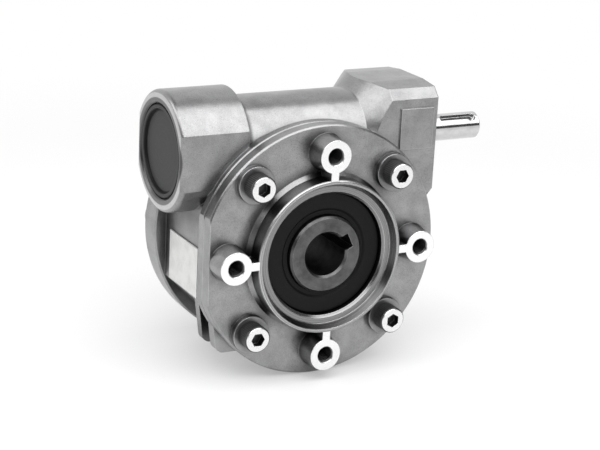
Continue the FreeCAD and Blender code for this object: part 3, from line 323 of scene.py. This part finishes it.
def screw_steel():
    """Blackened socket screws with knurled heads and bright tops, whose black in the sockets is partly
    painted shade.
    """
    s = Shader("screw_steel", grey(0.5), 1.0, 0.3)
    across = s.math("SUBTRACT", s.math("ABSOLUTE", s.x), SCREW_OFFSET)
    up = s.math("SUBTRACT", s.math("ABSOLUTE", s.z), SCREW_OFFSET)
    off_axis = s.radius(across, up)
    turn = s.math("ARCTAN2", up, across)
    ridges = 44.0
    knurl = s.math("MULTIPLY_ADD", s.math("SINE", s.math("MULTIPLY", turn, ridges)), 0.5, 0.5)
    side = s.step(off_axis, SCREW_HEAD_RADIUS - 0.15, SCREW_HEAD_RADIUS - 0.05)
    top = s.step(s.y, FRONT_FACE + 0.25, FRONT_FACE + 0.10)
    normal, edge = s.eased_edges(0.2)
    stain = s.noise(1.2, 4.0)
    # Blackened steel on all but the tops; in the sockets this black is also painted shade.
    black = s.blend(stain, (0.035, 0.035, 0.036), (0.09, 0.09, 0.092))
    black = s.blend(s.math("MULTIPLY", s.math("MULTIPLY", side, knurl), 0.5), black, grey(0.22))
    bright = s.blend(s.lines(off_axis, 6.0), grey(0.72), grey(0.93))
    tone = s.blend(top, black, bright)
    # Painted highlight: edges painted lighter.
    s.color(s.blend(s.math("MULTIPLY", edge, 0.35), tone, grey(0.85)))
    s.roughness(s.between(top, s.spread(stain, 0.32, 0.48), s.spread(stain, 0.20, 0.34)))
    s.shape(s.relief(s.math("MULTIPLY", knurl, side), 0.12, normal))
    return s.material


def rubber(name, dark, light, axis, centre=0.0, shaded_creases=()):
    """Moulded rubber with fine rings, a little bloom, edges painted lighter as a painted highlight, and
    painted shade in creases of given radius and width.
    """
    s = Shader(name, light, 0.0, 0.5)
    s.surface.inputs["Specular IOR Level"].default_value = 0.2
    side = s.y if axis == "x" else s.x
    from_axis = s.radius(side, s.math("SUBTRACT", s.z, centre))
    rings = s.lines(from_axis, 2.2)
    bloom = s.noise(0.5, 5.0, 0.7)
    normal, edge = s.eased_edges(0.3)
    tone = s.blend(s.step(s.between(0.6, rings, bloom), 0.3, 0.75), dark, light)
    # Painted highlight: edges painted lighter.
    tone = s.blend(s.math("MULTIPLY", edge, 0.35), tone, tuple(min(1.0, 2.0 * c) for c in light))
    # Painted shade: near black lines along the creases.
    for radius, width in shaded_creases:
        near = s.math("ABSOLUTE", s.math("SUBTRACT", from_axis, radius))
        tone = s.blend(s.step(near, width, 0.6 * width), tone, tuple(0.02 * c for c in dark))
    s.color(tone)
    s.roughness(s.spread(bloom, 0.42, 0.64))
    s.shape(s.relief(rings, 0.03, normal))
    return s.material


def bronze():
    """Hobbed bronze with slanting cutter lines."""
    s = Shader("wheel_bronze", (0.6, 0.4, 0.2), 1.0, 0.3)
    cuts = s.lines(s.math("MULTIPLY_ADD", s.z, 0.3, s.y), 3.0)
    stain = s.noise(0.25, 4.0)
    normal, edge = s.eased_edges(0.15)
    tone = s.blend(s.step(stain, 0.3, 0.7), (0.46, 0.28, 0.11), (0.66, 0.45, 0.20))
    # Painted highlight: edges painted lighter.
    s.color(s.blend(s.math("MULTIPLY", edge, 0.5), tone, (0.85, 0.66, 0.38)))
    s.roughness(s.spread(cuts, 0.22, 0.40))
    s.shape(s.relief(cuts, 0.02, normal))
    return s.material


def ground_steel(name, dark, light, low, high):
    """Hardened, ground or blackened steel with fine scratches."""
    s = Shader(name, light, 1.0, 0.5 * (low + high))
    scratch = s.noise(2.5, 5.0, 0.7)
    normal, edge = s.eased_edges(0.15)
    tone = s.blend(scratch, dark, light)
    # Painted highlight: edges painted lighter.
    s.color(s.blend(s.math("MULTIPLY", edge, 0.4), tone, grey(0.85)))
    s.roughness(s.spread(scratch, low, high))
    s.shape(s.relief(scratch, 0.01, normal))
    return s.material


def white_plate():
    """Bare white plate with a faint orange-peel finish and thin grey edges."""
    s = Shader("plate_white", (0.85, 0.85, 0.84), 0.0, 0.4)
    peel = s.noise(1.6, 2.0)
    dust = s.noise(0.22, 4.0)
    normal, edge = s.eased_edges(0.2)
    tone = s.blend(s.step(dust, 0.35, 0.75), (0.66, 0.66, 0.65), (0.54, 0.54, 0.53))
    s.color(s.blend(s.math("MULTIPLY", edge, 0.6), tone, grey(0.5)))
    s.roughness(s.spread(peel, 0.32, 0.5))
    s.shape(s.relief(peel, 0.02, normal))
    return s.material


def paint_nodes():
    """Gives every node its material and returns that of the castings."""
    cast = casting()
    hub = turned_steel("hub_steel", grey(0.06), grey(0.15), 0.34, "y")
    shaft = turned_steel("shaft_steel", grey(0.48), grey(0.66), 0.14, "x", WORM_HEIGHT)
    seal = rubber("seal_rubber", grey(0.002), grey(0.006), "y")
    input_seal = rubber("input_seal_rubber", grey(0.002), grey(0.006), "x", WORM_HEIGHT)
    # Painted shade round the cap: at its dish corner and in the gap at its rim.
    cap_shaded_creases = ((12.9, 0.45), (14.9, 0.65))
    cap = rubber("cap_rubber", (0.031, 0.031, 0.032), (0.052, 0.052, 0.053), "x", WORM_HEIGHT, cap_shaded_creases)
    race = ground_steel("bearing_steel", grey(0.60), grey(0.78), 0.12, 0.24)
    cage = ground_steel("cage_steel", grey(0.36), grey(0.52), 0.3, 0.45)
    black = ground_steel("spring_steel", grey(0.05), grey(0.12), 0.3, 0.5)
    finish = {
        "housing": cast, "front_cover": cast, "cover_screws": screw_steel(), "output_hub": hub,
        "worm_shaft": shaft, "worm_wheel_rim": bronze(), "end_cap": cap, "nameplate": white_plate(),
        "front_oil_seal": seal, "rear_oil_seal": seal, "cover_o_ring": seal, "input_oil_seal": input_seal,
    }
    for name, node in nodes.items():
        if name in finish:
            chosen = finish[name]
        elif name.endswith("cage"):
            chosen = cage
        elif "spring" in name or "circlip" in name:
            chosen = black
        else:
            chosen = race
        node.data.materials.clear()
        node.data.materials.append(chosen)
    return cast


def thread_coil(mesh, mouth, inward, outer, inner, pitch, depth, start):
    """Adds a helical ridge inside a hole, its ends tapering into the wall."""
    across = inward.orthogonal().normalized()
    beside = inward.cross(across)
    per_turn = 20
    taper = 6
    count = int(per_turn * depth / pitch)
    last = None
    for i in range(count + 1):
        angle = 2 * math.pi * i / per_turn
        out = across * math.cos(angle) + beside * math.sin(angle)
        along = mouth + inward * (start + pitch * i / per_turn)
        rise = min(1.0, i / taper, (count - i) / taper)
        crest = outer - (outer - inner) * rise
        ring = [mesh.verts.new(along - inward * pitch * 0.4 + out * outer),
                mesh.verts.new(along + out * crest),
                mesh.verts.new(along + inward * pitch * 0.4 + out * outer)]
        if last:
            for j in range(3):
                k = (j + 1) % 3
                mesh.faces.new((last[j], last[k], ring[k], ring[j]))
        else:
            mesh.faces.new(ring)
        last = ring
    mesh.faces.new(list(reversed(last)))


def mounting_threads(name, face, material):
    """Threads in the four tapped bosses of one side, whose ends are face mm along y."""
    mesh = bmesh.new()
    for quarter in range(4):
        angle = math.pi / 2 * quarter
        mouth = Vector((BOLT_RADIUS * math.cos(angle), face, BOLT_RADIUS * math.sin(angle)))
        inward = Vector((0, -math.copysign(1, face), 0))
        thread_coil(mesh, mouth * MM, inward, outer=2.52 * MM, inner=2.2 * MM, pitch=1.0 * MM,
                    depth=7.5 * MM, start=0.7 * MM)
    bmesh.ops.recalc_face_normals(mesh, faces=mesh.faces)
    data = bpy.data.meshes.new(name)
    mesh.to_mesh(data)
    mesh.free()
    data.materials.append(material)
    piece = bpy.data.objects.new(name, data)
    bpy.context.scene.collection.objects.link(piece)
    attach(piece, "casing")


def add_camera():
    """The photograph's viewpoint, fitted to the bosses, screws, bores and faces that it shows."""
    azimuth, elevation, roll = (math.radians(angle) for angle in (-28.40, 17.61, 2.88))
    target = Vector((5.23, 0.0, 0.76)) * MM
    distance = 557.1 * MM
    back = Vector((math.sin(azimuth) * math.cos(elevation), -math.cos(azimuth) * math.cos(elevation),
                   math.sin(elevation)))
    right = Vector((math.cos(azimuth), math.sin(azimuth), 0.0))
    up = back.cross(right)
    rolled_right = right * math.cos(roll) + up * math.sin(roll)
    rolled_up = up * math.cos(roll) - right * math.sin(roll)
    data = bpy.data.cameras.new("camera")
    data.sensor_fit = "HORIZONTAL"
    data.sensor_width = SENSOR_WIDTH
    data.lens = SENSOR_WIDTH * FOCAL_LENGTH / PHOTO_WIDTH
    data.clip_start = 0.01
    camera = bpy.data.objects.new("camera", data)
    place = target + back * distance
    camera.matrix_world = Matrix((
        (rolled_right.x, rolled_up.x, back.x, place.x),
        (rolled_right.y, rolled_up.y, back.y, place.y),
        (rolled_right.z, rolled_up.z, back.z, place.z),
        (0.0, 0.0, 0.0, 1.0),
    ))
    bpy.context.scene.collection.objects.link(camera)
    bpy.context.scene.camera = camera


def add_softbox(name, place, width, height, watts):
    """A rectangular lamp that faces the middle of the part."""
    data = bpy.data.lights.new(name, "AREA")
    data.shape = "RECTANGLE"
    data.size = width
    data.size_y = height
    data.energy = watts
    lamp = bpy.data.objects.new(name, data)
    lamp.location = place
    lamp.rotation_euler = (-Vector(place)).to_track_quat("-Z", "Y").to_euler()
    bpy.context.scene.collection.objects.link(lamp)


def seen_or_mirrored(tree):
    """1 for what the camera sees, also in metal or through glass, 0 for light that falls on things."""
    path = tree.nodes.new("ShaderNodeLightPath")
    total = path.outputs["Is Camera Ray"]
    for kind in ("Is Glossy Ray", "Is Transmission Ray"):
        either = tree.nodes.new("ShaderNodeMath")
        either.operation = "MAXIMUM"
        tree.links.new(total, either.inputs[0])
        tree.links.new(path.outputs[kind], either.inputs[1])
        total = either.outputs[0]
    return total


def add_floor():
    """White sweep that is lit near the part, where its shadow falls, and plain white further out."""
    mesh = bmesh.new()
    bmesh.ops.create_grid(mesh, x_segments=8, y_segments=8, size=10.0)
    data = bpy.data.meshes.new("floor")
    mesh.to_mesh(data)
    mesh.free()
    floor = bpy.data.objects.new("floor", data)
    gap = 0.2 * MM
    floor.location.z = cad_box[0][2] - gap
    bpy.context.scene.collection.objects.link(floor)
    material = bpy.data.materials.new("floor_white")
    material.use_nodes = True
    tree = material.node_tree
    surface = tree.nodes["Principled BSDF"]
    surface.inputs["Base Color"].default_value = (0.80, 0.80, 0.80, 1.0)
    surface.inputs["Roughness"].default_value = 0.9
    place = tree.nodes.new("ShaderNodeTexCoord")
    length = tree.nodes.new("ShaderNodeVectorMath")
    length.operation = "LENGTH"
    tree.links.new(place.outputs["Object"], length.inputs[0])
    far = tree.nodes.new("ShaderNodeMapRange")
    far.interpolation_type = "SMOOTHSTEP"
    far.inputs["From Min"].default_value = 0.14
    far.inputs["From Max"].default_value = 0.42
    far.inputs["To Min"].default_value = 0.35
    tree.links.new(length.outputs["Value"], far.inputs["Value"])
    share = tree.nodes.new("ShaderNodeMath")
    share.operation = "MULTIPLY"
    tree.links.new(far.outputs["Result"], share.inputs[0])
    tree.links.new(seen_or_mirrored(tree), share.inputs[1])
    white = tree.nodes.new("ShaderNodeEmission")
    mix = tree.nodes.new("ShaderNodeMixShader")
    tree.links.new(share.outputs[0], mix.inputs["Fac"])
    tree.links.new(surface.outputs[0], mix.inputs[1])
    tree.links.new(white.outputs[0], mix.inputs[2])
    tree.links.new(mix.outputs[0], tree.nodes["Material Output"].inputs["Surface"])
    data.materials.append(material)


def add_world():
    """White sweep all round near the floor and higher up behind the part, a dimmer room elsewhere."""
    world = bpy.data.worlds.new("studio")
    bpy.context.scene.world = world
    world.use_nodes = True
    tree = world.node_tree
    way = tree.nodes.new("ShaderNodeTexCoord")
    split = tree.nodes.new("ShaderNodeSeparateXYZ")
    tree.links.new(way.outputs["Generated"], split.inputs[0])

    def ramp(source, low, high):
        made = tree.nodes.new("ShaderNodeMapRange")
        made.interpolation_type = "SMOOTHSTEP"
        made.inputs["From Min"].default_value = low
        made.inputs["From Max"].default_value = high
        tree.links.new(source, made.inputs["Value"])
        return made.outputs["Result"]

    def join(operation, first, second):
        made = tree.nodes.new("ShaderNodeMath")
        made.operation = operation
        tree.links.new(first, made.inputs[0])
        tree.links.new(second, made.inputs[1])
        return made.outputs[0]

    behind = join("MULTIPLY", ramp(split.outputs["Y"], -0.15, 0.35), ramp(split.outputs["Z"], 0.98, 0.75))
    sweep = join("MAXIMUM", behind, ramp(split.outputs["Z"], 0.06, 0.01))
    room = tree.nodes.new("ShaderNodeMapRange")
    room.inputs["To Min"].default_value = 0.07
    room.inputs["To Max"].default_value = 1.0
    tree.links.new(sweep, room.inputs["Value"])
    background = tree.nodes["Background"]
    background.inputs["Color"].default_value = (1.0, 1.0, 1.0, 1.0)
    tree.links.new(room.outputs["Result"], background.inputs["Strength"])


def add_stage():
    add_floor()
    add_world()
    add_softbox("overhead", (0.02, -0.36, 0.64), width=1.20, height=1.00, watts=10.4)
    add_softbox("left", (-0.66, 0.0, 0.60), width=0.95, height=0.40, watts=2.6)


def main():
    cast = paint_nodes()
    mounting_threads("front_threads", FRONT_FACE, cast)
    mounting_threads("rear_threads", REAR_FACE, cast)
    add_camera()
    add_stage()
    bpy.context.scene.view_settings.view_transform = "Standard"


main()
